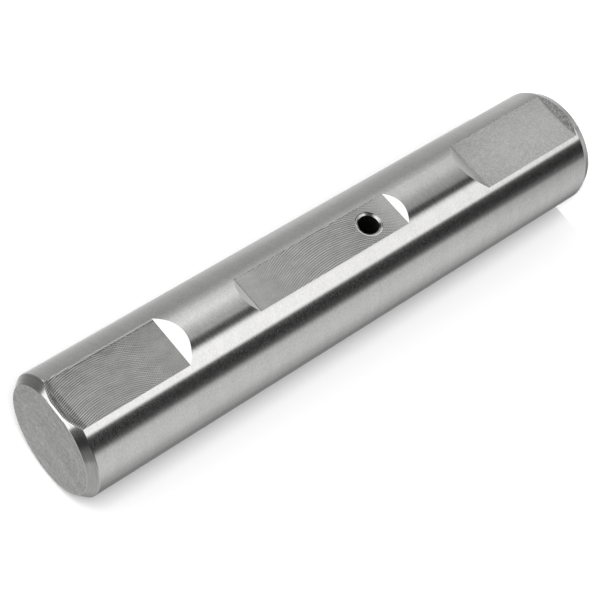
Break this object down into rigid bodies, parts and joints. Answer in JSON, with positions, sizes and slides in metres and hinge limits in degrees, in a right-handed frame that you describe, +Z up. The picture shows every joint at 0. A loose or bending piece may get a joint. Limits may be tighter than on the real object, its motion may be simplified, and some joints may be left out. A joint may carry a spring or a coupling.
{
  "type": "spring bolt",
  "caption": "Solid round steel pin with bevelled ends, milled clamping flats, a shallow grease flat with a cross hole, and a grease port in one end face.",
  "frame": {"origin": "centre of the port end face, on the pin's axis, where the pin stands", "axes": "+Z up the pin's axis from the port end to the plain end; the milled flats face -Y"},
  "size_m": [0.03, 0.03, 0.155],
  "materials": {
    "ground_steel": "satin ground round, milled flats, turned end faces, uncoated"
  },
  "bodies": {
    "root": {"spring_bolt": "ground_steel"}
  },
  "joints": []
}
